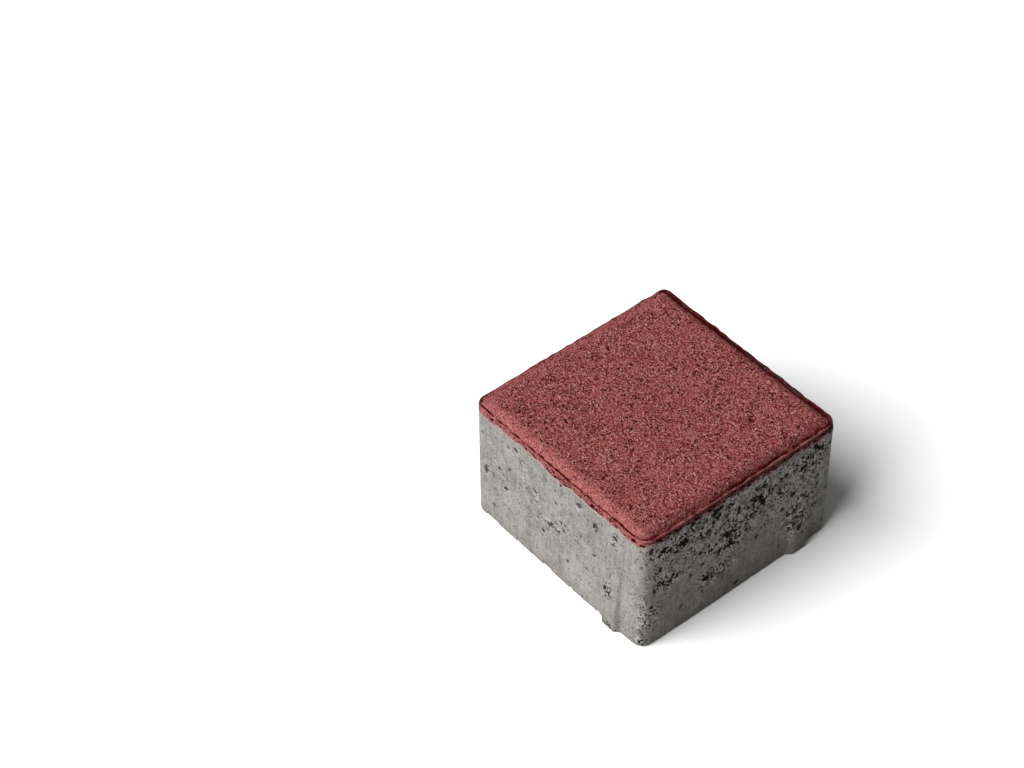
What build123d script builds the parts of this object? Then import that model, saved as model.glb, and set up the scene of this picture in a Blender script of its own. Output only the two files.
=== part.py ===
from build123d import *
import os

# Square concrete paving stone, pressed in a mould in two layers: a grey backing
# concrete and a thin coloured facing. Millimetres, +Z up, resting on its bedding
# face, with the origin at the middle of that face.

# Stone
body_side = 97.0
stone_height = 60.0
corner_radius = 4.0
facing_depth = 4.4
bottom_break = 0.5

# Crown: what the pressing shoe leaves round the wearing face
lip_width = 0.7
lip_height = 0.8
lip_round = 0.25
groove_width = 0.6
bevel_width = 4.8
bevel_drop = 2.3
# Steps up the bevel as (in from its foot, up from its foot), in shares of its width and drop
bevel_step_shares = [(0.0, 0.0), (0.05, 0.2), (0.2, 0.53), (0.45, 0.82), (0.7, 0.95), (1.0, 1.0)]
# Corner radius lost from the bevel's foot to the flat face
crown_corner_loss_share = 0.35

# Spacer nibs, one to a side
nib_count = 4
nib_projection = 2.0
nib_crest_width = 6.2
nib_root_width = 10.6
nib_edge_radius = 0.8
nib_height = 38.0
nib_run_out = 30.0
nib_from_corner = 17.2
nib_embed = 1.5

backing_height = stone_height - facing_depth
bevel_foot = stone_height - bevel_drop
half_side = body_side / 2
crown_inset = lip_width + groove_width
crown_corner_radius = corner_radius - crown_inset

# Spacer nib on the -Y side: a trapezoid in plan whose top runs out into the side
nib_x = half_side - nib_from_corner
nib_flank_run = (nib_root_width - nib_crest_width) / 2
embed_half_width = nib_root_width / 2 + nib_embed * nib_flank_run / nib_projection
embed_y = nib_embed - half_side
crest_y = -half_side - nib_projection
run_out_plane = Plane(
    origin=(nib_x, -half_side, nib_height),
    x_dir=(1, 0, 0),
    z_dir=(0, -nib_run_out, nib_projection),
)

with BuildPart() as spacer_nib:
    with BuildSketch() as nib_plan:
        with BuildLine() as nib_outline:
            Polyline(
                (nib_x - embed_half_width, embed_y),
                (nib_x - nib_crest_width / 2, crest_y),
                (nib_x + nib_crest_width / 2, crest_y),
                (nib_x + embed_half_width, embed_y),
                close=True,
            )
        make_face()
        fillet(nib_plan.vertices().group_by(Axis.Y)[0], radius=nib_edge_radius)
    extrude(amount=nib_height)
    split(bisect_by=run_out_plane, keep=Keep.BOTTOM)

# Backing concrete with its nibs, the lower edge a little broken
with BuildPart() as backing:
    with BuildSketch() as footprint:
        RectangleRounded(body_side, body_side, corner_radius)
    extrude(amount=backing_height)
    with PolarLocations(0, nib_count):
        add(spacer_nib.part)
    chamfer(backing.faces().sort_by(Axis.Z)[0].edges(), length=bottom_break)
backing.part.label = "backing_concrete"

# Coloured facing: a slab as wide as the stone, a pressing lip round its upper
# edge, and a bevelled crown that rises from the groove inside the lip
with BuildPart() as facing:
    with BuildSketch(Plane.XY.offset(backing_height)) as slab_plan:
        RectangleRounded(body_side, body_side, corner_radius)
    extrude(amount=bevel_foot - backing_height)

    with BuildSketch(Plane.XY.offset(bevel_foot)) as lip_plan:
        RectangleRounded(body_side, body_side, corner_radius)
        offset(amount=-lip_width, mode=Mode.SUBTRACT)
    extrude(amount=lip_height)
    fillet(facing.faces().sort_by(Axis.Z)[-1].edges(), radius=lip_round)

    for in_share, up_share in bevel_step_shares:
        step_side = body_side - 2 * (crown_inset + in_share * bevel_width)
        step_radius = crown_corner_radius * (1 - in_share * crown_corner_loss_share)
        with BuildSketch(Plane.XY.offset(bevel_foot + up_share * bevel_drop)):
            RectangleRounded(step_side, step_side, step_radius)
    loft()
facing.part.label = "coloured_facing"

os.makedirs("parts", exist_ok=True)
export_step(backing.part, "parts/backing_concrete.step")
export_step(facing.part, "parts/coloured_facing.step")
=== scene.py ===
import bpy
import math
import numpy as np
from mathutils import Matrix, Vector


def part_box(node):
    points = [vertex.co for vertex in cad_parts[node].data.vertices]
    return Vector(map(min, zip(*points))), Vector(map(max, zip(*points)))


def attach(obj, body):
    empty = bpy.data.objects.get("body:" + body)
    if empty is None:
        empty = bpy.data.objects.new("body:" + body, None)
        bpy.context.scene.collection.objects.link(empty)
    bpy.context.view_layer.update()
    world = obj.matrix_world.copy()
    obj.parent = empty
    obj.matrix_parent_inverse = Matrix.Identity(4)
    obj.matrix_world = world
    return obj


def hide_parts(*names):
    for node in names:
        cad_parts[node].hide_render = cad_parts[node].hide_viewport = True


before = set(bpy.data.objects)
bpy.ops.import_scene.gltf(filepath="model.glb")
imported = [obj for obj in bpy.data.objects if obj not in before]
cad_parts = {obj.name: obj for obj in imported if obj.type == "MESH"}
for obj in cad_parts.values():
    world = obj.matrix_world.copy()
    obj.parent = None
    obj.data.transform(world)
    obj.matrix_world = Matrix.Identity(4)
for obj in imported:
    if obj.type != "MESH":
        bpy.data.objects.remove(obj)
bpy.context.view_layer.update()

mm = 0.001
facingHigh = np.array(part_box("coloured_facing")[1]) / mm         # upper corner of its box
backingHigh = np.array(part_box("backing_concrete")[1]) / mm
halfSide = facingHigh[0]                    # half the stone's side, without its nibs
stoneTop = facingHigh[2]
layerJoin = backingHigh[2]                  # where the two mixes meet in the CAD model
nibReach = backingHigh[0] - halfSide
print("frame: stone %.1f mm square and %.1f mm high" % (2 * halfSide, stoneTop))


# noise on a lattice, the same on every run

hashFactors = (73856093, 19349663, 83492791, 2654435761, 1274126177)
hashShifts = (13, 16)
hashMask = (1 << 20) - 1


def cellNumber(cells, seed):
    # a fixed random number from 0 to 1 for each lattice cell: its coordinates are multiplied, mixed and cut
    mixed = np.full(cells.shape[:-1], seed * hashFactors[3], dtype=np.int64)
    for axis in range(cells.shape[-1]):
        mixed = mixed ^ (cells[..., axis] * hashFactors[axis])
    mixed = (mixed ^ (mixed >> hashShifts[0])) * hashFactors[4]
    return ((mixed ^ (mixed >> hashShifts[1])) & hashMask) / hashMask


def softNoise(points, cell, seed):
    # smooth noise from -1 to 1: the numbers at a cell's corners, blended by a cubic fade along each axis
    place = points / cell
    base = np.floor(place).astype(np.int64)
    fade = place - base
    fade = fade * fade * (3 - 2 * fade)
    total = np.zeros(points.shape[:-1])
    for corner in np.ndindex(*[2] * points.shape[-1]):
        weight = np.where(corner, fade, 1 - fade).prod(axis=-1)
        total += weight * cellNumber(base + np.array(corner), seed)
    return 2 * total - 1


def hollows(place, cell, radii, chance, seed, lap=0.0):
    # bowl-shaped pits on a plane, one to a square cell where its number is under the chance there:
    # a pit is 1 at its middle and falls with the square of the distance to 0 at its rim
    # lap is the length after which the first coordinate comes round again
    wide = lap / round(lap / cell) if lap else cell
    size = np.array([wide, cell])
    base = np.floor(place / size).astype(np.int64)
    deepest = np.zeros(place.shape[:-1])
    for step in np.ndindex(3, 3):
        home = base + np.array(step) - 1
        named = home.copy()
        if lap:
            named[..., 0] %= round(lap / cell)
        jitter = np.stack([cellNumber(named, seed + 1), cellNumber(named, seed + 2)], axis=-1)
        radius = radii[0] + (radii[1] - radii[0]) * cellNumber(named, seed + 3) ** 2
        gap = np.linalg.norm(place - (home + jitter) * size, axis=-1) / radius
        there = cellNumber(named, seed) < chance((named + jitter) * size)
        deepest = np.maximum(deepest, np.where(there, np.clip(1 - gap * gap, 0, 1), 0))
    return deepest


def easeStep(value, low, high):
    # 0 below low, 1 above high, and a cubic ease between
    share = np.clip((value - low) / (high - low), 0, 1)
    return share * share * (3 - 2 * share)


voidNoise = {
    "finerSize": 0.55,          # size and weight of a second noise, beside the first
    "finerWeight": 0.65,
    "lowest": -0.95,            # level at a share of 0
    "perShare": 1.15,
    "edge": 0.45,               # softness of the hollows' edges
}


def voids(points, cell, share, seed):
    # uneven hollows between grains: two sizes of noise, cut off at a level that rises with the share of voids
    crumb = softNoise(points, cell, seed)
    crumb += voidNoise["finerWeight"] * softNoise(points, voidNoise["finerSize"] * cell, seed + 1)
    level = voidNoise["perShare"] * share + voidNoise["lowest"]
    return easeStep(level - crumb, 0, voidNoise["edge"])


# the outline that both layers share, in mm

outline = {
    "cornerRadius": 4.0,
    "fineStep": 0.13,           # spacing of the facing's grid at its rim, for the lip and the groove
    "coarseStep": 0.385,
    "stepGrowth": 0.016,
    "sideStep": 0.52,           # spacing of the backing's points round its sides
    "sharpAngle": 75.0,         # degrees, steeper edges stay sharp
}
cornerRadius = outline["cornerRadius"]
rimLength = 8 * (halfSide - cornerRadius) + 2 * math.pi * cornerRadius
faceLength = rimLength / 4


def facingLanes():
    # grid lines across the stone: steps grow evenly from the rim, and all are stretched to end on the middle
    count = np.arange(int(halfSide / outline["fineStep"]))
    steps = np.minimum(outline["coarseStep"], outline["fineStep"] + outline["stepGrowth"] * count)
    inset = np.concatenate([[0.0], np.cumsum(steps)])
    last = np.searchsorted(inset, halfSide)
    lane = halfSide * (1 - inset[:last + 1] / inset[last])
    return np.concatenate([-lane, lane[-2::-1]])


def roundCorners(x, y, ring, corner):
    # a square ring's two corner legs are bent onto a quarter circle, evenly by angle
    across = np.abs(x) - (ring - corner)
    along = np.abs(y) - (ring - corner)
    bend = (across > 0) & (along > 0)
    angle = math.pi / 4 * (1 + (along - across) / corner)
    roundX = np.sign(x) * (ring - corner + corner * np.cos(angle))
    roundY = np.sign(y) * (ring - corner + corner * np.sin(angle))
    return np.where(bend, roundX, x), np.where(bend, roundY, y)


def squareRim(count):
    # numbers of a square grid's border points, anticlockwise from above, from the corner at -X -Y
    grid = np.arange(count * count).reshape(count, count)
    return np.concatenate([grid[0, :-1], grid[:-1, -1], grid[-1, :0:-1], grid[:0:-1, 0]])


class RimPath:
    # the stone's outline as a closed path over a square grid's border: points, outward directions and
    # the way round from the middle of the corner at -X -Y, so that face 0 is -Y, 1 is +X, 2 is +Y, 3 is -X
    def __init__(self, lanes):
        gridX, gridY = np.meshgrid(lanes, lanes)
        self.order = squareRim(len(lanes))
        borderX, borderY = gridX.ravel()[self.order], gridY.ravel()[self.order]
        self.x, self.y = roundCorners(borderX, borderY, halfSide, cornerRadius)
        step = np.hypot(np.roll(self.x, -1) - self.x, np.roll(self.y, -1) - self.y)
        self.place = (np.cumsum(step) - step) * rimLength / step.sum()
        self.along = self.place % faceLength - faceLength / 2       # from a face's middle, to the right
        aheadX = np.roll(self.x, -1) - np.roll(self.x, 1)
        aheadY = np.roll(self.y, -1) - np.roll(self.y, 1)
        self.outX = aheadY / np.hypot(aheadX, aheadY)
        self.outY = -aheadX / np.hypot(aheadX, aheadY)

    def spots(self, z):
        # points of the plain sides at heights z, as x y z
        return np.stack([np.broadcast_to(self.x, z.shape), np.broadcast_to(self.y, z.shape), z], axis=-1)

    def unrolled(self, z):
        # the same points on the sides laid flat, as way round and height
        return np.stack([np.broadcast_to(self.place, z.shape), z], axis=-1)

    def pushed(self, z, skin):
        # the same points moved outwards by skin
        return np.stack([self.x + self.outX * skin, self.y + self.outY * skin, z], axis=-1)


def bandQuads(upper, lower):
    # faces between two closed loops of points, the second below the first or further in
    return np.stack([upper, lower, np.roll(lower, -1), np.roll(upper, -1)], axis=-1)


def fanTriangles(loop, middle, upwards):
    # faces from a closed loop to one middle point
    after = np.roll(loop, -1)
    centre = np.full_like(loop, middle)
    return np.stack([loop, after, centre] if upwards else [loop, centre, after], axis=-1)


def meshPiece(name, points, quads, triangles, marks):
    # the arrays become one mesh with soft shading, apart from its sharpest edges
    mesh = bpy.data.meshes.new(name)
    mesh.vertices.add(len(points))
    mesh.vertices.foreach_set("co", (wornCorner(points) * mm).astype(np.float32).ravel())
    corners = np.concatenate([quads.ravel(), triangles.ravel()])
    mesh.loops.add(len(corners))
    mesh.loops.foreach_set("vertex_index", corners.astype(np.int32))
    starts = np.concatenate([np.arange(len(quads)) * 4, 4 * len(quads) + np.arange(len(triangles)) * 3])
    mesh.polygons.add(len(starts))
    mesh.polygons.foreach_set("loop_start", starts.astype(np.int32))
    mesh.update(calc_edges=True)
    mesh.polygons.foreach_set("use_smooth", np.ones(len(starts), dtype=bool))
    mesh.set_sharp_from_angle(angle=math.radians(outline["sharpAngle"]))
    for mark, values in marks.items():
        layer = mesh.attributes.new(mark, "FLOAT", "POINT")
        layer.data.foreach_set("value", values.astype(np.float32))
    piece = bpy.data.objects.new(name, mesh)
    bpy.context.scene.collection.objects.link(piece)
    print("%s: %d points, %d triangles" % (name, len(points), 2 * len(quads) + len(triangles)))
    return piece


# the upright sides that both layers share, in mm

sides = {
    "seed": 11,
    "waveHeight": 0.12,         # broad waves left by the mould
    "waveSize": 13.0,
    "streakHeight": 0.04,
    "streakSize": 1.7,
    "upright": 0.3,             # waves and streaks change this much slower upwards
    "sandHeight": 0.05,
    "sandSize": 1.1,
    "nibPlace": 31.3,           # from a face's middle
    "nibCrest": 6.2,
    "nibRoot": 10.6,
    "nibTop": 38.0,
    "nibRunOut": 30.0,
    "wearReach": 6.0,           # worn corner at +X -Y
    "wearFoot": 0.7,
    "wearTop": 1.3,
    "wearFrom": 0.75,           # share of the height above which it deepens
    # line between the two mixes, as (faces round from the corner at -X -Y, height)
    "layerLine": [
        (0.00, 55.2), (0.15, 55.2), (0.25, 55.7), (0.38, 55.6), (0.48, 54.3), (0.60, 55.0),
        (0.78, 55.6), (0.90, 55.3), (1.00, 55.7), (1.06, 55.9), (1.18, 56.1), (1.30, 55.5),
        (1.45, 55.1), (1.62, 55.2), (1.78, 55.5), (1.90, 55.0), (2.10, 55.9), (2.35, 56.3),
        (2.60, 55.2), (3.00, 55.6), (3.40, 55.1), (3.70, 56.1),
    ],
    "lineRagged": 0.6,
    "raggedSizes": (3.2, 1.3),
    "raggedFine": 0.8,          # weight of the finer size
    "seamBlur": (1.5, 2.8, 1.5, 1.5),       # how far the mixes run into each other, on -Y, +X, +Y and -X
}


def layerLine(rim):
    # height of the line between the mixes round the rim: a few given heights, joined and made ragged
    turns, heights = np.array(sides["layerLine"]).T
    level = np.interp(rim.place / faceLength, turns, heights, period=4)
    spots = rim.spots(np.zeros_like(rim.x))
    broad, narrow = sides["raggedSizes"]
    ragged = softNoise(spots, broad, sides["seed"])
    ragged += sides["raggedFine"] * softNoise(spots, narrow, sides["seed"] + 1)
    return level + sides["lineRagged"] * ragged


def nibHeight(rim, z):
    # a spacer nib: a flat-topped ridge up the face, cut off by a long slope towards its upper end
    crest, root = sides["nibCrest"] / 2, sides["nibRoot"] / 2
    ridge = np.clip((root - np.abs(rim.along - sides["nibPlace"])) / (root - crest), 0, 1)
    slope = np.clip((sides["nibTop"] - z) / sides["nibRunOut"], 0, 1)
    return nibReach * np.minimum(ridge, slope)


def sideSkin(rim, z):
    # how far the sides stand out from the plain outline: mould waves and streaks, sand and the nibs
    spots = rim.spots(z)
    drawnOut = spots * [1, 1, sides["upright"]]
    seed = sides["seed"] + 10
    skin = sides["waveHeight"] * softNoise(drawnOut, sides["waveSize"], seed)
    skin += sides["streakHeight"] * softNoise(drawnOut, sides["streakSize"], seed + 1)
    skin += sides["sandHeight"] * softNoise(spots, sides["sandSize"], seed + 2)
    return np.minimum(skin + nibHeight(rim, z), nibReach)


def wornCorner(points):
    # one upright corner is worn: points move in along its diagonal, by a bell curve of their distance
    x, y, z = points.T
    near = np.exp(-((x - halfSide) ** 2 + (y + halfSide) ** 2) / sides["wearReach"] ** 2)
    heights = [0, sides["wearFrom"] * stoneTop, stoneTop]
    depths = [sides["wearFoot"], sides["wearFoot"], sides["wearTop"]]
    depth = near * np.interp(z, heights, depths)
    return points + depth[:, None] * np.array([-1, 1, 0]) / math.sqrt(2)


# coloured facing, in mm

facing = {
    "seed": 301,
    "sideRows": 8,
    "lipWidth": 0.7,
    "lipHeight": 0.8,
    "lipCurve": 3,              # power that rounds the lip
    "lipUneven": (0.8, 0.3),    # mean share of its height, and the swing
    "lipLeast": 0.3,
    "grooveWidth": 0.6,
    "grooveDepth": 0.6,
    "grooveUneven": (0.7, 0.8),             # mean share of its depth, and the swing
    "grooveMost": 1.3,
    "bevelWidth": 4.8,
    "bevelDrop": 2.3,
    "bevelCurve": 2.2,          # how early the bevel levels out
    "footCurve": 1.5,           # how steep it stands at its foot
    "closedRise": 0.5,          # share of the bevel's height that a closed groove is filled to
    "crownCorner": 1.75,        # corner radius of the flat face
    "cornerMost": 0.6,          # most of a ring's half side that its corner radius takes
    "cornerLeast": 1e-6,        # keeps the innermost rings from dividing by 0
    "crownEase": 1.0,           # over which the crown's sand sets in, from the bevel's foot
    "flatFrom": 0.3,            # share of the bevel over which the flat face's sand and pits set in
    "skinEnd": 2.5,             # how far past the bevel its skin, its painted highlight and the painted shade on it fade out
    "wobbleSize": 2.6,          # unevenness of the lip and the groove
    "sandHeight": 0.15,
    "sandSizes": (1.3, 0.75),
    "sandCoarse": 0.4,          # weight of the coarser size
    "sandShares": (0.2, 0.3, 0.5),          # sand on the lip, what the bevel adds, what the flat face adds
    "topSlack": 0.26,           # the sand's mean level under the highest point
    "pitDepth": 0.45,
    "pitSize": 1.1,
    "pitShare": 0.08,
    "pitSwing": 0.6,            # how much that share changes from place to place
    "pitPatch": 7.0,
    "bigPitDepth": 0.7,
    "bigPitChance": 0.10,
    "bigPitSpacing": 5.5,
    "bigPitRadii": (0.4, 0.8),
    "bevelPits": 0.15,          # how strong pits are off the flat face
    "warpSize": 1.0,            # bends the outlines of the big pits
    "warpReach": 0.6,
    "bandPits": 0.75,           # share of pits in the band under the lip
    "bandPitSize": 1.4,
    "bandPitDepth": 0.5,
    "bandPitFlat": 1.5,         # how much flatter than wide they are
    "bandPitRise": 4,           # how fast they set in under the lip, and end at the grey mix
    "bandPitFall": 6,
    "bandWaveRise": 3,          # how fast the waves of the sides set in under the lip
    # share of the bevel's pale skin and painted highlight that the band under the lip gets
    "bandSkinAndHighlight": 0.9,
    "cornerBlend": 7.0,
    # the rim on the -Y, +X, +Y and -X sides
    "lipRaise": (0.0, 0.5, 1.15, 0.9),
    "setback": (0.0, 0.4, 0.0, 0.0),
    "setbackReach": 4.0,
    "grooveFill": (0.0, 0.0, 0.0, 0.9),     # share of the groove that is closed
    "grooveReach": (0.5, 1.7, 0.4, 0.2),    # how far its dark line runs up the bevel; on +X it is painted shade below the lip
    "grooveFrom": 0.65,                     # share of the lip's width at which that line sets in
    "grooveEase": 0.2,
    "groovePatches": (9.0, 1.7),            # sizes of the gaps in it
    "groovePatchy": (0.9, 0.7, 0.8),        # its mean strength, and the swing at each size
    "groovePatchMost": 1.5,
    "grooveWander": 0.25,
    "wanderSize": 3.4,
    "wanderZone": (0.6, 2.0, 4.0),          # distances in: fully there, still so, and gone
    "bevelSkinAndHighlight": (1.0, 0.0, 0.0, 0.3),      # smooth pale cement skin, partly a painted highlight on the lit -Y and -X sides
    # painted highlight along the lip's crest, strongest on +X, with some pale skin
    "lipSkinAndHighlight": (0.9, 2.1, 0.0, 0.9),
    "lipMarkPart": 0.9,                     # share of the lip's width that it covers
    "lipPatch": 2.2,
    "lipPatchy": (0.8, 0.9),                # its mean strength, and the swing
    "shadeReach": (0.0, 0.12, 2.4, 0.0),    # how far in from the edge the rim is darkened as painted shade
    "shadeEase": 0.2,
    # painted shade on the +X bevel, which faces away from the lamp
    "bevelShade": (0.0, 0.42, 0.0, 0.0),
    "paleSeam": (1.0, 0.2, 0.6, 0.8),       # how pale the grey is where the mixes meet
}
crownInset = facing["lipWidth"] + facing["grooveWidth"]
bevelEnd = crownInset + facing["bevelWidth"]


def perSide(values, x, y):
    # a value for each of the -Y, +X, +Y and -X sides, blended over the corners
    front, right, back, left = values
    lean = easeStep(np.abs(x) - np.abs(y), -facing["cornerBlend"], facing["cornerBlend"])
    return lean * np.where(x > 0, right, left) + (1 - lean) * np.where(y > 0, back, front)


def crownProfile(inset, wobble, lipRaise, grooveFill):
    # height across the rim, by distance in from it: a rounded lip, a groove, and a bevel that starts
    # upright, 1 less a falling power of the distance, all to another power
    foot = stoneTop - facing["bevelDrop"]
    lip = np.clip(inset / facing["lipWidth"], 0, 1)
    mean, swing = facing["lipUneven"]
    lipShare = np.clip(mean + swing * wobble, facing["lipLeast"], 1)
    lipRise = (facing["lipHeight"] + lipRaise) * (1 - np.abs(2 * lip - 1) ** facing["lipCurve"]) * lipShare
    groove = np.clip((inset - facing["lipWidth"]) / facing["grooveWidth"], 0, 1)
    mean, swing = facing["grooveUneven"]
    grooveShare = np.clip(mean + swing * wobble, 0, facing["grooveMost"])
    grooveFall = facing["grooveDepth"] * np.sin(math.pi * groove) * grooveShare
    bevel = np.clip((inset - crownInset) / facing["bevelWidth"], 0, 1)
    rise = (1 - (1 - bevel) ** facing["bevelCurve"]) ** (1 / facing["footCurve"])
    height = foot + lipRise - (1 - grooveFill) * grooveFall + facing["bevelDrop"] * rise
    return np.maximum(height, foot + facing["bevelDrop"] * facing["closedRise"] * grooveFill * lip)


def crownSurface(lanes):
    # the square grid is bent onto rings with round corners and lifted to the crown's profile,
    # then sand and pits are added to its height
    gridX, gridY = np.meshgrid(lanes, lanes)
    ring = np.maximum(np.abs(gridX), np.abs(gridY))
    inset = halfSide - ring
    corner = np.interp(inset, [0, crownInset, bevelEnd],
                       [cornerRadius, cornerRadius - crownInset, facing["crownCorner"]])
    corner = np.minimum(corner, facing["cornerMost"] * ring) + facing["cornerLeast"]
    x, y = roundCorners(gridX, gridY, ring, corner)
    flat = np.stack([x, y, np.zeros_like(x)], axis=-1)
    seed = facing["seed"]
    grooveFill = perSide(facing["grooveFill"], x, y)
    full, still, gone = facing["wanderZone"]
    free = easeStep(inset, 0, full) * (1 - easeStep(inset, still, gone))
    bent = inset + facing["grooveWander"] * free * softNoise(flat, facing["wanderSize"], seed + 8)
    wobble = softNoise(flat, facing["wobbleSize"], seed)
    z = crownProfile(bent, wobble, perSide(facing["lipRaise"], x, y), grooveFill)

    # where the sand, the pits and the skin set in or end
    onFlat = easeStep(inset, crownInset + facing["flatFrom"] * facing["bevelWidth"], bevelEnd)
    onRim = 1 - easeStep(inset, crownInset, bevelEnd + facing["skinEnd"])
    onCrown = easeStep(inset, crownInset, crownInset + facing["crownEase"])
    coarse, fine = facing["sandSizes"]
    sand = facing["sandCoarse"] * softNoise(flat, coarse, seed + 1) + softNoise(flat, fine, seed + 2)
    lipSand, bevelSand, flatSand = facing["sandShares"]
    sand *= lipSand + bevelSand * onCrown + flatSand * onFlat
    z = z + facing["sandHeight"] * sand - facing["topSlack"] * onCrown
    warp = np.stack([softNoise(flat, facing["warpSize"], seed + 3),
                     softNoise(flat, facing["warpSize"], seed + 4)], axis=-1)
    crowd = facing["pitShare"] * (1 + facing["pitSwing"] * softNoise(flat, facing["pitPatch"], seed + 5))
    small = voids(flat, facing["pitSize"], crowd, seed + 20)
    big = hollows(flat[..., :2] + facing["warpReach"] * warp, facing["bigPitSpacing"],
                  facing["bigPitRadii"], lambda spot: facing["bigPitChance"], seed + 40)
    share = facing["bevelPits"] + (1 - facing["bevelPits"]) * onFlat
    z = z - share * np.maximum(facing["pitDepth"] * small, facing["bigPitDepth"] * big)

    # the groove's broken dark line, partly painted shade, the pale skin with its painted highlight, and the
    # painted shade on the rim and the bevel
    lineFrom = easeStep(bent, facing["grooveFrom"] * facing["lipWidth"], facing["lipWidth"])
    reach = perSide(facing["grooveReach"], x, y)
    lineEnd = easeStep(bent, crownInset - facing["grooveEase"], crownInset + reach)
    broad, narrow = facing["groovePatches"]
    mean, broadSwing, narrowSwing = facing["groovePatchy"]
    patchy = mean + broadSwing * softNoise(flat, broad, seed + 6)
    patchy += narrowSwing * softNoise(flat, narrow, seed + 7)
    patchy = np.clip(patchy, 0, facing["groovePatchMost"])
    mean, swing = facing["lipPatchy"]
    lipSkinAndHighlight = np.clip(mean + swing * softNoise(flat, facing["lipPatch"], seed + 9), 0, 1)
    lipSkinAndHighlight *= perSide(facing["lipSkinAndHighlight"], x, y)
    onLip = inset < facing["lipMarkPart"] * facing["lipWidth"]
    rimShade = easeStep(perSide(facing["shadeReach"], x, y) - inset, 0, facing["shadeEase"])
    bevelShade = onCrown * onRim * perSide(facing["bevelShade"], x, y)
    marks = {
        "pit": share * np.maximum(small, big),
        # pale cement skin, partly a painted highlight on the lit sides and the +X lip
        "skinAndHighlight": onRim * np.where(onLip, lipSkinAndHighlight, perSide(facing["bevelSkinAndHighlight"], x, y)),
        # dark line along the groove, partly painted shade of the lip
        "groove": lineFrom * (1 - lineEnd) * patchy * (1 - grooveFill),
        # painted shade on the shaded rims and the +X bevel
        "paintedShade": np.maximum(rimShade, bevelShade),
    }
    near = 1 - easeStep(inset, 0, facing["setbackReach"])
    shrink = 1 - perSide(facing["setback"], x, y) * near / halfSide
    points = np.stack([x * shrink, y * shrink, np.minimum(z, stoneTop)], axis=-1).reshape(-1, 3)
    return points, {name: values.ravel() for name, values in marks.items()}


def facingPiece():
    # the crown, a ragged band down its sides to the grey mix, and a closed underside
    lanes = facingLanes()
    rim = RimPath(lanes)
    top, marks = crownSurface(lanes)
    grid = np.arange(len(top)).reshape(len(lanes), len(lanes))
    squares = np.stack([grid[:-1, :-1], grid[:-1, 1:], grid[1:, 1:], grid[1:, :-1]], axis=-1)
    quads = [squares.reshape(-1, 4)]

    # rows of the band, with pits that fade out at its upper and lower ends
    share = np.linspace(0, 1, facing["sideRows"] + 1)[1:, None]
    line = layerLine(rim)
    rimHeight = top[rim.order, 2]
    z = rimHeight + (line - rimHeight) * share
    spots = rim.spots(z) * [1, 1, facing["bandPitFlat"]]
    pit = voids(spots, facing["bandPitSize"], facing["bandPits"], facing["seed"] + 60)
    pit *= np.minimum(1, facing["bandPitFall"] * (1 - share)) * np.minimum(1, facing["bandPitRise"] * share)
    setback = perSide(facing["setback"], rim.x, rim.y) * (1 - share)
    skin = sideSkin(rim, z) * np.minimum(1, facing["bandWaveRise"] * share)
    band = rim.pushed(z, skin - facing["bandPitDepth"] * pit - setback)

    rows = len(top) + np.arange(z.size).reshape(z.shape)
    upper = rim.order
    for lower in rows:
        quads.append(bandQuads(upper, lower))
        upper = lower
    points = np.concatenate([top, band.reshape(-1, 3), [[0, 0, layerJoin]]])
    # the band's pale skin and painted highlight
    skinAndHighlight = facing["bandSkinAndHighlight"] * perSide(facing["bevelSkinAndHighlight"], rim.x, rim.y)
    # painted shade on the band under the +Y and +X rims
    paintedShade = easeStep(perSide(facing["shadeReach"], rim.x, rim.y), 0, facing["shadeEase"])
    bandMarks = {
        "pit": pit,
        "skinAndHighlight": np.broadcast_to(skinAndHighlight, z.shape),
        "groove": np.zeros_like(z),
        "paintedShade": np.broadcast_to(paintedShade, z.shape),
        "seam": np.clip(1 - (z - line) / perSide(sides["seamBlur"], rim.x, rim.y), 0, 1),
    }
    marks["seam"] = np.zeros(len(top))
    marks = {name: np.concatenate([marks[name], values.ravel(), [0]]) for name, values in bandMarks.items()}
    return meshPiece("coloured_facing_stone", points, np.concatenate(quads),
                     fanTriangles(upper, len(points) - 1, False), marks)


# grey backing, in mm

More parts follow.
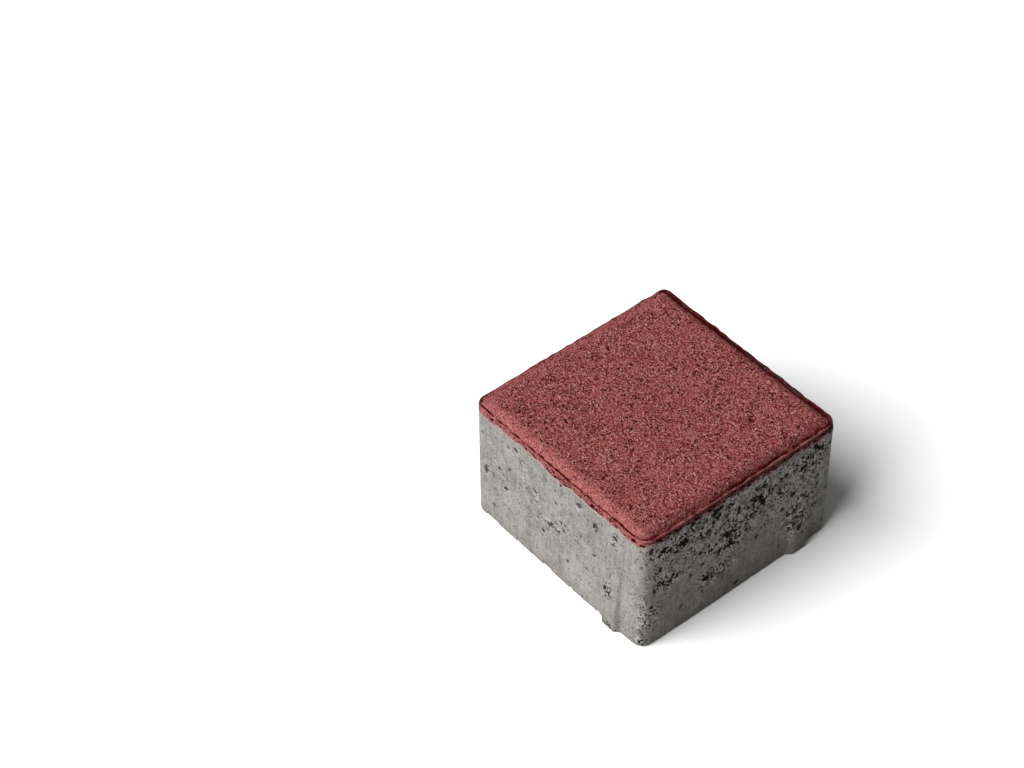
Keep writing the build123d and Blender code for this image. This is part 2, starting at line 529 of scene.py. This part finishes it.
backing = {
    "seed": 701,
    "rows": 112,
    "footRows": 4,              # closer rows at the broken lower edge
    "footHeight": 1.6,
    "edgeBreak": 0.35,
    "edgeChip": 1.5,
    "chipSize": 2.6,
    "chipLevels": (0.25, 0.7),  # noise at which a chip starts, and at which it is full
    "pitDepth": 0.6,
    "pitSize": 1.3,
    "pitPart": 0.75,            # how much of the share goes to small pits
    "bigPitDepth": 1.1,
    "bigPitChance": 0.4,        # where the share is 1
    "bigPitSpacing": 3.0,
    "bigPitRadii": (0.5, 1.35),
    "bigPitCurve": 0.6,         # under 1 gives steeper walls
    "warpSize": 1.5,            # bends the outlines of the big pits
    "warpReach": 0.9,
    "clumpSize": 4.5,           # pits crowd together in clumps
    "clumpSwing": 0.45,
    "clumpRange": (0.3, 1.5),
    "seamFade": (0.1, 0.9),     # pits set in over these distances under the line between the mixes
    "footFade": (0.2, 1.2),     # and over these heights
    "footShade": 11.0,          # the foot is darker up to this height
    "bedRings": [0.012, 0.04, 0.1, 0.22, 0.42, 0.68],
    "bedRough": 0.35,
    "bedSize": 2.2,
    "bedMean": 0.3,
    "bedEase": 0.05,
    # where the mix is open, as (face, along, up, reach along, reach up, share of pits)
    "honeycomb": [
        (0, -21.0, 49.0, 2.5, 5.0, 0.45), (0, -13.0, 36.0, 5.5, 2.6, 0.55),
        (0, -3.0, 27.0, 5.5, 3.0, 0.65), (0, -8.0, 18.5, 1.4, 4.0, 0.60),
        (0, 2.0, 52.0, 1.4, 1.4, 0.80), (0, 12.5, 47.5, 2.0, 3.2, 0.70),
        (0, 21.5, 46.5, 2.2, 2.2, 0.70), (0, 32.0, 49.0, 2.2, 7.0, 0.70),
        (0, 29.8, 20.5, 2.6, 4.8, 0.72), (0, 47.6, 17.0, 2.3, 15.0, 0.50),
        (0, -10.0, 34.0, 50.0, 28.0, 0.17), (0, 30.0, 1.5, 5.0, 2.0, 0.80),
        (0, 47.0, 3.0, 2.5, 3.0, 0.80),
        (1, 2.0, 42.0, 44.0, 19.0, 0.62), (1, -33.0, 50.0, 11.0, 8.0, 1.05),
        (1, -12.0, 51.0, 10.0, 6.0, 0.90), (1, -7.0, 32.0, 10.0, 6.5, 0.95),
        (1, -11.0, 18.0, 10.5, 5.5, 0.80), (1, -37.0, 31.5, 7.5, 4.5, 0.75),
        (1, -43.0, 17.0, 4.5, 8.0, 0.60), (1, -39.0, 38.5, 8.0, 4.5, 0.72),
        (1, 10.0, 43.0, 8.0, 10.0, 0.90), (1, 33.0, 43.0, 11.0, 4.5, 0.80),
        (1, 31.0, 21.0, 11.0, 13.0, 0.62), (1, 38.0, 50.5, 11.0, 5.5, 0.95),
        (2, 0.0, 44.0, 46.0, 17.0, 0.48), (2, -30.0, 47.0, 13.0, 6.0, 0.65),
        (2, -20.0, 37.0, 9.0, 5.0, 0.60), (2, 4.0, 32.0, 11.0, 4.0, 0.65),
        (2, 13.0, 26.0, 6.0, 5.0, 0.55), (2, 30.0, 48.0, 11.0, 5.0, 0.65),
        (2, 21.0, 41.0, 7.0, 5.0, 0.55), (2, -38.0, 15.0, 6.0, 10.0, 0.40),
        (3, -4.0, 43.0, 45.0, 17.0, 0.42), (3, -34.0, 37.0, 9.0, 6.0, 0.60),
        (3, -25.0, 28.0, 6.0, 7.0, 0.55), (3, 0.0, 48.0, 14.0, 4.0, 0.60),
        (3, 11.0, 41.0, 7.0, 4.0, 0.55), (3, 23.0, 24.0, 8.0, 6.0, 0.55),
        (3, 14.0, 17.0, 6.0, 4.0, 0.45), (3, 39.0, 46.0, 6.0, 7.0, 0.60),
    ],
    "strayPits": 0.10,
    "ridgeHighlight": (0.2, 1.1, 0.6, 0.6),      # how pale the grains between pits are, on -Y, +X, +Y and -X, partly a painted highlight on ridges
}


def openMix(spot):
    # share of pits at a place on the sides: the strongest of the open patches, each fading from its middle
    share = np.full(spot.shape[:-1], backing["strayPits"])
    for face, along, up, reachAlong, reachUp, most in backing["honeycomb"]:
        away = spot[..., 0] - (face + 0.5) * faceLength - along
        away = (away + rimLength / 2) % rimLength - rimLength / 2
        fade = np.exp(-((away / reachAlong) ** 2 + ((spot[..., 1] - up) / reachUp) ** 2) ** 2)
        share = np.maximum(share, most * fade)
    return share


def backingPiece():
    # rows of points run down the sides from the ragged line, pits are sunk in them,
    # and the lower edge turns under to a rough bed face that closes on a middle point
    rim = RimPath(np.linspace(-halfSide, halfSide, round(2 * halfSide / outline["sideStep"]) + 1))
    line = layerLine(rim)
    footHeight = backing["footHeight"]
    share = np.linspace(0, 1, backing["rows"] + 1)[:-1, None]
    foot = footHeight * np.linspace(1, 0, backing["footRows"] + 1)[:, None]
    z = np.concatenate([line + (footHeight - line) * share, foot * np.ones_like(line)])
    seed = backing["seed"]
    spots = rim.spots(z)
    place = rim.unrolled(z)
    warp = np.stack([softNoise(spots, backing["warpSize"], seed + 1),
                     softNoise(spots, backing["warpSize"], seed + 2)], axis=-1)
    clump = 1 + backing["clumpSwing"] * softNoise(spots, backing["clumpSize"], seed + 5)
    openness = np.clip(openMix(place) * np.clip(clump, *backing["clumpRange"]), 0, 1)
    small = voids(spots, backing["pitSize"], backing["pitPart"] * openness, seed + 20)
    big = hollows(place + backing["warpReach"] * warp, backing["bigPitSpacing"], backing["bigPitRadii"],
                  lambda spot: backing["bigPitChance"] * openMix(spot), seed + 43, rimLength)
    big = big ** backing["bigPitCurve"]
    fade = easeStep(line - z, *backing["seamFade"]) * easeStep(z, *backing["footFade"])
    skin = sideSkin(rim, z) - fade * np.maximum(backing["pitDepth"] * small, backing["bigPitDepth"] * big)
    chips = easeStep(softNoise(spots * [1, 1, 0], backing["chipSize"], seed + 3), *backing["chipLevels"])
    low = np.clip(1 - z / footHeight, 0, 1) ** 2
    side = rim.pushed(z, skin - low * (backing["edgeBreak"] + backing["edgeChip"] * chips))

    shrink = 1 - np.array(backing["bedRings"])[:, None, None]
    bed = side[-1] * shrink
    rough = np.clip(softNoise(bed, backing["bedSize"], seed + 4) + backing["bedMean"], 0, 1)
    bed[..., 2] = backing["bedRough"] * rough * easeStep(1 - shrink[..., 0], 0, backing["bedEase"])
    loops = np.arange((len(z) + len(bed)) * len(line)).reshape(-1, len(line))
    quads = np.concatenate([bandQuads(upper, lower) for upper, lower in zip(loops[:-1], loops[1:])])
    points = np.concatenate([side.reshape(-1, 3), bed.reshape(-1, 3), [[0, 0, 0], [0, 0, layerJoin]]])
    triangles = np.concatenate([fanTriangles(loops[-1], loops.size, False),
                                fanTriangles(loops[0], loops.size + 1, True)])
    sideMarks = {
        "pit": fade * np.maximum(small, big),
        "open": openness,
        "seam": np.clip(1 - (line - z) / perSide(sides["seamBlur"], rim.x, rim.y), 0, 1),
        "pale": np.broadcast_to(perSide(facing["paleSeam"], rim.x, rim.y), z.shape),
        # pale grains between pits, partly a painted highlight on ridges
        "ridge": openness * perSide(backing["ridgeHighlight"], rim.x, rim.y),
        "foot": 1 - easeStep(z, 0, backing["footShade"]),
    }
    bare = np.zeros(len(points) - z.size)
    marks = {name: np.concatenate([values.ravel(), bare]) for name, values in sideMarks.items()}
    return meshPiece("backing_concrete_stone", points, quads, triangles, marks)


# finishes

class Paint:
    # one value in a material: a sum written on it adds Math nodes, and node() adds any other node
    def __init__(self, tree, socket=None):
        self.tree = tree
        self.socket = socket

    def node(self, kind, settings=None, sockets=None, take=0):
        made = self.tree.nodes.new(kind)
        for key, value in (settings or {}).items():
            setattr(made, key, value)
        for key, value in (sockets or {}).items():
            if isinstance(value, Paint):
                self.tree.links.new(value.socket, made.inputs[key])
            else:
                made.inputs[key].default_value = value
        return Paint(self.tree, made.outputs[take]) if len(made.outputs) else None

    def maths(self, operation, first, second):
        return self.node("ShaderNodeMath", {"operation": operation}, {0: first, 1: second})

    def __add__(self, other):
        return self.maths("ADD", self, other)

    def __radd__(self, other):
        return self.maths("ADD", other, self)

    def __sub__(self, other):
        return self.maths("SUBTRACT", self, other)

    def __rsub__(self, other):
        return self.maths("SUBTRACT", other, self)

    def __mul__(self, other):
        return self.maths("MULTIPLY", self, other)

    def __rmul__(self, other):
        return self.maths("MULTIPLY", other, self)

    def also(self, take):
        # another output of the same node
        return Paint(self.tree, self.socket.node.outputs[take])


def newFinish(name):
    material = bpy.data.materials.new(name)
    material.use_nodes = True
    material.node_tree.nodes.clear()
    return material, Paint(material.node_tree)


def mixTone(paint, share, first, second):
    # a Mix node's colours are its inputs 6 and 7 and its output 2
    return paint.node("ShaderNodeMix", {"data_type": "RGBA"}, {0: share, 6: first, 7: second}, take=2)


def markTone(paint, name):
    return paint.node("ShaderNodeAttribute", {"attribute_name": name}, take="Fac")


def noiseTone(paint, place, size, detail=2.0, rough=0.5):
    sockets = {"Vector": place, "Scale": 1 / (size * mm), "Detail": detail, "Roughness": rough}
    return paint.node("ShaderNodeTexNoise", None, sockets)


def easeTone(paint, value, low, high):
    sockets = {"Value": value, "From Min": low, "From Max": high}
    return paint.node("ShaderNodeMapRange", {"interpolation_type": "SMOOTHSTEP"}, sockets)


def levelTone(paint, value, low, high):
    return paint.node("ShaderNodeMapRange", None, {"Value": value, "From Min": low, "From Max": high})


crumbSize = 1.5                 # mm, noise that breaks up the line between the mixes


def seamCrumbs(paint, place):
    # the same in both finishes, so that crumbs of one mix sit in the other
    return noiseTone(paint, place, crumbSize)


def shiftedPlace(paint, place, size, reach):
    # coordinates pushed about by noise, so that what is drawn on them has uneven outlines
    push = noiseTone(paint, place, size).also("Color")
    sockets = {0: push, 1: (reach * mm, reach * mm, reach * mm), 2: place}
    return paint.node("ShaderNodeVectorMath", {"operation": "MULTIPLY_ADD"}, sockets)


def finishShader(paint, tone, roughness, height, gloss):
    # height is in mm
    normal = paint.node("ShaderNodeBump", None, {"Height": height, "Distance": mm, "Strength": 1.0})
    sockets = {"Base Color": tone, "Roughness": roughness, "Normal": normal, "Specular IOR Level": gloss}
    shader = paint.node("ShaderNodeBsdfPrincipled", None, sockets)
    paint.node("ShaderNodeOutputMaterial", None, {"Surface": shader})


redMix = {
    "dark": (0.105, 0.005, 0.005, 1),
    "plain": (0.338, 0.082, 0.079, 1),
    "pale": (0.690, 0.320, 0.315, 1),
    "wornAndLit": (0.560, 0.200, 0.195, 1),       # smoother cement skin on the bevel and the rim, partly a painted highlight on the lit sides and the +X lip
    "pit": (0.045, 0.002, 0.002, 1),
    # painted shade on the rims, band and bevel that face away from the lamp
    "paintedShade": (0.034, 0.017, 0.015, 1),
    "seam": (0.420, 0.240, 0.225, 1),       # where the two mixes run together
    "grey": (0.430, 0.350, 0.320, 1),
    "grain": 0.60,              # sizes in mm
    "fine": 0.48,
    "crumb": 0.70,
    "patch": 5.0,               # rougher and smoother places
    "cloud": 14.0,
    "pushSize": 0.9,            # makes the outlines of grains uneven
    "pushReach": 0.7,
    "patchLevels": (0.33, 0.67),
    "roughRange": (0.6, 0.45),  # unevenness of smoother places, and what rougher ones add
    "skinCalm": 0.1,            # what the cement skin takes from it
    "toneMix": (0.2, 0.55, 0.25),           # weights of crumbs, fine sand and grains
    "toneLevels": (-0.20, 0.25),            # unevenness that is darkest, and palest
    "cloudShare": 0.05,
    "voidLevel": 0.368,         # share of small voids, as a level of the noise between grains
    "voidRough": 0.03,          # what rougher places add to it
    "voidSkin": 0.025,          # what the cement skin takes from it
    "voidEdge": 0.05,
    "pitLevels": (0.4, 0.8),
    "edgeSand": 0.5,            # fine sand that breaks up the edges of the pits and the seam
    "wornLitShare": 0.38,
    "seamShare": 0.5,
    "seamLevels": (0.5, 1.2),
    "greyCrumbs": 4.0,
    "greyLevels": (2.95, 3.15),
    "shadeRange": (0.8, 0.2),   # least share of painted shade, and what crumbs add
    "shadeLevels": (0.4, 0.6),
    "grooveShare": 0.85,
    "grooveLevels": (0.35, 0.9),
    "grooveSand": 0.4,
    "deepShare": 0.9,           # the groove's darkest places
    "deepLevels": (1.15, 1.5),
    "deepSand": 0.6,
    "bumpMix": (0.25, 0.7, 0.25),           # mm, height of crumbs and fine sand, depth between grains
    "voidDepth": 0.35,          # mm
    "matt": (0.84, 0.12),       # roughness, and what fine sand adds
    "gloss": 0.015,
}


def redFinish():
    material, paint = newFinish("red_concrete_finish")
    place = paint.node("ShaderNodeTexCoord", take="Object")
    shifted = shiftedPlace(paint, place, redMix["pushSize"], redMix["pushReach"])
    markNames = ("skinAndHighlight", "groove", "paintedShade", "seam", "pit")
    skinAndHighlight, groove, paintedShade, seam, pit = [markTone(paint, name) for name in markNames]
    cloud = noiseTone(paint, place, redMix["cloud"], detail=3.0)
    crumb = noiseTone(paint, place, redMix["crumb"], detail=1.0)
    fine = noiseTone(paint, place, redMix["fine"], detail=0.0)
    grainScale = 1 / (redMix["grain"] * mm)
    gap = paint.node("ShaderNodeTexVoronoi", None, {"Vector": shifted, "Scale": grainScale})
    grain = paint.node("ShaderNodeSeparateColor", None, {0: gap.also("Color")})
    busy = easeTone(paint, noiseTone(paint, place, redMix["patch"], detail=1.0), *redMix["patchLevels"])
    least, more = redMix["roughRange"]
    rough = (least + more * busy) * (1 - redMix["skinCalm"] * skinAndHighlight)
    level = redMix["voidLevel"] + redMix["voidRough"] * busy - redMix["voidSkin"] * skinAndHighlight
    hole = easeTone(paint, level - crumb, 0, redMix["voidEdge"])
    sunk = easeTone(paint, pit + redMix["edgeSand"] * fine, *redMix["pitLevels"])

    # grains from dark to pale, then the skin with its painted highlight, the seam and the painted shade over
    # them
    crumbWeight, fineWeight, grainWeight = redMix["toneMix"]
    uneven = crumbWeight * crumb + fineWeight * fine + grainWeight * grain - 0.5
    uneven = rough * uneven + redMix["cloudShare"] * (cloud - 0.5)
    darkest, palest = redMix["toneLevels"]
    tone = mixTone(paint, levelTone(paint, uneven, darkest, 0), redMix["dark"], redMix["plain"])
    tone = mixTone(paint, levelTone(paint, uneven, 0, palest), tone, redMix["pale"])
    # pale skin, partly a painted highlight
    tone = mixTone(paint, redMix["wornLitShare"] * skinAndHighlight, tone, redMix["wornAndLit"])
    crumbs = seamCrumbs(paint, place)
    blend = easeTone(paint, seam + redMix["edgeSand"] * fine, *redMix["seamLevels"])
    tone = mixTone(paint, redMix["seamShare"] * blend, tone, redMix["seam"])
    # painted shade, broken up by crumbs
    least, more = redMix["shadeRange"]
    darkened = paintedShade * (least + more * easeTone(paint, crumbs, *redMix["shadeLevels"]))
    tone = mixTone(paint, darkened, tone, redMix["paintedShade"])
    strayGrey = easeTone(paint, seam + redMix["greyCrumbs"] * crumbs, *redMix["greyLevels"])
    tone = mixTone(paint, strayGrey, tone, redMix["grey"])

    # voids, pits and the groove's dark line last, that line partly painted shade
    tone = mixTone(paint, hole, tone, redMix["pit"])
    tone = mixTone(paint, sunk, tone, redMix["pit"])
    # the groove's dark line, partly painted shade of the lip
    shaded = easeTone(paint, groove + redMix["grooveSand"] * fine, *redMix["grooveLevels"])
    tone = mixTone(paint, redMix["grooveShare"] * shaded, tone, redMix["dark"])
    deep = easeTone(paint, groove + redMix["deepSand"] * fine, *redMix["deepLevels"])
    tone = mixTone(paint, redMix["deepShare"] * deep, tone, redMix["pit"])
    crumbHeight, fineHeight, gapDepth = redMix["bumpMix"]
    height = rough * (crumbHeight * crumb + fineHeight * fine - gapDepth * gap) - redMix["voidDepth"] * hole
    least, more = redMix["matt"]
    finishShader(paint, tone, least + more * fine, height, redMix["gloss"])
    print("finish: red concrete")
    return material


greyMix = {
    "dark": (0.190, 0.178, 0.160, 1),
    "plain": (0.468, 0.444, 0.413, 1),
    # pale grains, and painted highlights on ridges between pits
    "pale": (0.690, 0.664, 0.625, 1),
    "pit": (0.016, 0.014, 0.011, 1),
    "seam": (0.550, 0.410, 0.380, 1),       # where the two mixes run together
    "red": (0.400, 0.170, 0.160, 1),
    "fine": 0.455,              # sizes in mm
    "crumb": 0.95,
    "patch": 3.4,
    "cloud": 9.0,
    "streak": 2.0,
    "upright": 0.12,            # streaks change this much slower upwards
    "roughRange": (0.05, 0.5, 0.9),         # unevenness of dense mix, and what openness and its square add
    "patchSwing": 1.3,
    "toneMix": (0.3, 0.2, 0.25),            # weights of fine sand, clouds and streaks
    "toneLevels": (0.17, 0.57),
    "ridgeMix": (0.4, 0.5),     # weights of fine sand and patches, beside crumbs
    "ridgeLevels": (0.86, 1.08),
    "voidLevel": 0.324,         # share of small voids in dense mix, as a level of the noise between grains
    "openLevel": 0.134,         # what open mix adds to it
    "voidEdge": 0.04,
    "voidRange": (0.6, 0.4),    # how dark voids are in dense mix, and what open mix adds
    "pitLevels": (0.33, 0.62),
    "pitRange": (0.7, 0.3),
    "edgeSand": 0.5,            # fine sand that breaks up the edges of the pits and the seam
    "seamShare": 0.7,
    "seamLevels": (0.4, 1.2),
    "redCrumbs": 3.0,
    "redLevels": (2.45, 2.6),
    "footShare": 0.3,
    "bumpMix": (0.6, 0.15, 0.06),           # mm, height of crumbs, fine sand and streaks
    "voidDepth": 0.3,           # mm
    "matt": (0.82, 0.14),       # roughness, and what fine sand adds
    "gloss": 0.08,
}


def greyFinish():
    material, paint = newFinish("grey_concrete_finish")
    place = paint.node("ShaderNodeTexCoord", take="Object")
    markNames = ("open", "pit", "ridge", "seam", "pale", "foot")
    openness, pit, ridge, seam, pale, foot = [markTone(paint, name) for name in markNames]
    drawnOut = {0: place, 1: (1, 1, greyMix["upright"])}
    upright = paint.node("ShaderNodeVectorMath", {"operation": "MULTIPLY"}, drawnOut)
    cloud = noiseTone(paint, place, greyMix["cloud"], detail=4.0, rough=0.6)
    streak = noiseTone(paint, upright, greyMix["streak"], detail=2.0, rough=0.6)
    crumb = noiseTone(paint, place, greyMix["crumb"], detail=1.0, rough=0.6)
    fine = noiseTone(paint, place, greyMix["fine"], detail=1.0, rough=0.6)
    patch = noiseTone(paint, place, greyMix["patch"], detail=1.0)
    level = greyMix["voidLevel"] + greyMix["openLevel"] * openness
    hole = easeTone(paint, level - crumb, 0, greyMix["voidEdge"])
    sunk = easeTone(paint, pit + greyMix["edgeSand"] * fine, *greyMix["pitLevels"])

    # dark to plain, pale grains between pits as a partly painted highlight, then the seam and the foot over
    # them
    dense, more, evenMore = greyMix["roughRange"]
    rough = dense + openness * (more + evenMore * openness)
    uneven = rough * (crumb - 0.5) + greyMix["patchSwing"] * openness * (patch - 0.5)
    fineWeight, cloudWeight, streakWeight = greyMix["toneMix"]
    shade = fineWeight * fine + cloudWeight * cloud + streakWeight * streak + uneven
    tone = mixTone(paint, easeTone(paint, shade, *greyMix["toneLevels"]), greyMix["dark"], greyMix["plain"])
    fineWeight, patchWeight = greyMix["ridgeMix"]
    # painted highlight on ridge crests, partly pale grains
    crest = easeTone(paint, crumb + fineWeight * fine + patchWeight * patch, *greyMix["ridgeLevels"])
    tone = mixTone(paint, ridge * crest, tone, greyMix["pale"])
    blend = easeTone(paint, seam + greyMix["edgeSand"] * fine, *greyMix["seamLevels"])
    tone = mixTone(paint, greyMix["seamShare"] * pale * blend, tone, greyMix["seam"])
    crumbs = seamCrumbs(paint, place)
    strayRed = easeTone(paint, seam + greyMix["redCrumbs"] * crumbs, *greyMix["redLevels"])
    tone = mixTone(paint, strayRed, tone, greyMix["red"])
    tone = mixTone(paint, greyMix["footShare"] * foot, tone, greyMix["dark"])

    # voids and pits last
    least, more = greyMix["voidRange"]
    tone = mixTone(paint, (least + more * openness) * hole, tone, greyMix["pit"])
    least, more = greyMix["pitRange"]
    tone = mixTone(paint, (least + more * openness) * sunk, tone, greyMix["pit"])
    crumbHeight, fineHeight, streakHeight = greyMix["bumpMix"]
    height = (crumbHeight + ridge) * rough * crumb + fineHeight * fine + streakHeight * streak
    least, more = greyMix["matt"]
    finishShader(paint, tone, least + more * fine, height - greyMix["voidDepth"] * hole, greyMix["gloss"])
    print("finish: grey concrete")
    return material


facingStone = facingPiece()
facingStone.data.materials.append(redFinish())
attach(facingStone, "root")
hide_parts("coloured_facing")

backingStone = backingPiece()
backingStone.data.materials.append(greyFinish())
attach(backingStone, "root")
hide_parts("backing_concrete")
print("stone: both layers dressed")


# floor, light and camera

studio = {
    "floorSize": 6.0,           # m
    "floorSeen": 1.4,           # bright enough to clip to white outside the shadow
    "floorBounce": 0.45,        # what the floor throws back at the stone
    "skyLevel": 0.078,
    "keyLevel": 1.30,           # light on a face that looks at the lamp
    "keyTurn": 19.0,            # degrees from -Y towards -X
    "keyRise": 42.0,            # degrees above the floor
    "keySoft": 60.0,            # degrees across
}


def seenDirectly(paint):
    # 1 for what the camera sees straight, in a mirror or through glass, 0 for light that falls on the stone
    rayNames = ("Is Camera Ray", "Is Glossy Ray", "Is Transmission Ray")
    rays = [paint.node("ShaderNodeLightPath", take=name) for name in rayNames]
    return paint.node("ShaderNodeMath", {"operation": "ADD", "use_clamp": True},
                      {0: rays[0] + rays[1], 1: rays[2]})


def floorStage():
    reach = studio["floorSize"] / 2
    corners = [(-reach, -reach, 0), (reach, -reach, 0), (reach, reach, 0), (-reach, reach, 0)]
    mesh = bpy.data.meshes.new("floor")
    mesh.from_pydata(corners, [], [(0, 1, 2, 3)])
    floor = bpy.data.objects.new("floor", mesh)
    bpy.context.scene.collection.objects.link(floor)
    material, paint = newFinish("floor_white")
    seen, bounce = studio["floorSeen"], studio["floorBounce"]
    tone = mixTone(paint, seenDirectly(paint), (bounce, bounce, bounce, 1), (seen, seen, seen, 1))
    shader = paint.node("ShaderNodeBsdfDiffuse", None, {"Color": tone})
    paint.node("ShaderNodeOutputMaterial", None, {"Surface": shader})
    mesh.materials.append(material)


def sunLamp(name, level, turn, rise, soft):
    lamp = bpy.data.lights.new(name, "SUN")
    lamp.energy = math.pi * level
    lamp.angle = math.radians(soft)
    holder = bpy.data.objects.new(name, lamp)
    bpy.context.scene.collection.objects.link(holder)
    turn, rise = math.radians(turn), math.radians(rise)
    towards = Vector((math.sin(turn) * math.cos(rise), math.cos(turn) * math.cos(rise), -math.sin(rise)))
    holder.rotation_euler = towards.to_track_quat("-Z", "Y").to_euler()


def sky():
    world = bpy.data.worlds.new("sky")
    bpy.context.scene.world = world
    world.use_nodes = True
    world.node_tree.nodes.clear()
    paint = Paint(world.node_tree)
    level = studio["skyLevel"]
    tone = mixTone(paint, seenDirectly(paint), (level, level, level, 1), (1, 1, 1, 1))
    shader = paint.node("ShaderNodeBackground", None, {"Color": tone})
    paint.node("ShaderNodeOutputWorld", None, {"Surface": shader})


floorStage()
sky()
sunLamp("key_light", studio["keyLevel"], studio["keyTurn"], studio["keyRise"], studio["keySoft"])
bpy.context.scene.view_settings.view_transform = "Standard"

photoCamera = {
    "azimuth": 50.614,          # degrees, 0 looks along +Y
    "elevation": 45.130,
    "roll": -0.673,
    "distance": 1.04191,        # m
    "slideRight": 0.054475,     # the stone's place in the picture, m
    "slideUp": -0.051750,
    "focalPixels": 2656.6,
    "imageWidth": 1024,
    "sensorWidth": 36.0,        # mm
    "clipEnd": 100.0,           # m
}


def placeCamera():
    camera = bpy.data.cameras.new("camera")
    camera.sensor_width = photoCamera["sensorWidth"]
    camera.lens = photoCamera["focalPixels"] / photoCamera["imageWidth"] * photoCamera["sensorWidth"]
    camera.clip_end = photoCamera["clipEnd"]
    holder = bpy.data.objects.new("camera", camera)
    bpy.context.scene.collection.objects.link(holder)
    turn, rise = math.radians(photoCamera["azimuth"]), math.radians(photoCamera["elevation"])
    roll = math.radians(photoCamera["roll"])
    back = Vector((math.sin(turn) * math.cos(rise), -math.cos(turn) * math.cos(rise), math.sin(rise)))
    level = Vector((0, 0, 1)).cross(back).normalized()
    upright = back.cross(level)
    right = level * math.cos(roll) + upright * math.sin(roll)
    up = upright * math.cos(roll) - level * math.sin(roll)
    spot = back * photoCamera["distance"] - right * photoCamera["slideRight"] - up * photoCamera["slideUp"]
    turned = Matrix((right, up, back)).transposed().to_4x4()
    holder.matrix_world = Matrix.Translation(spot) @ turned
    bpy.context.scene.camera = holder


placeCamera()
print("studio: floor, sky, lamp and camera")
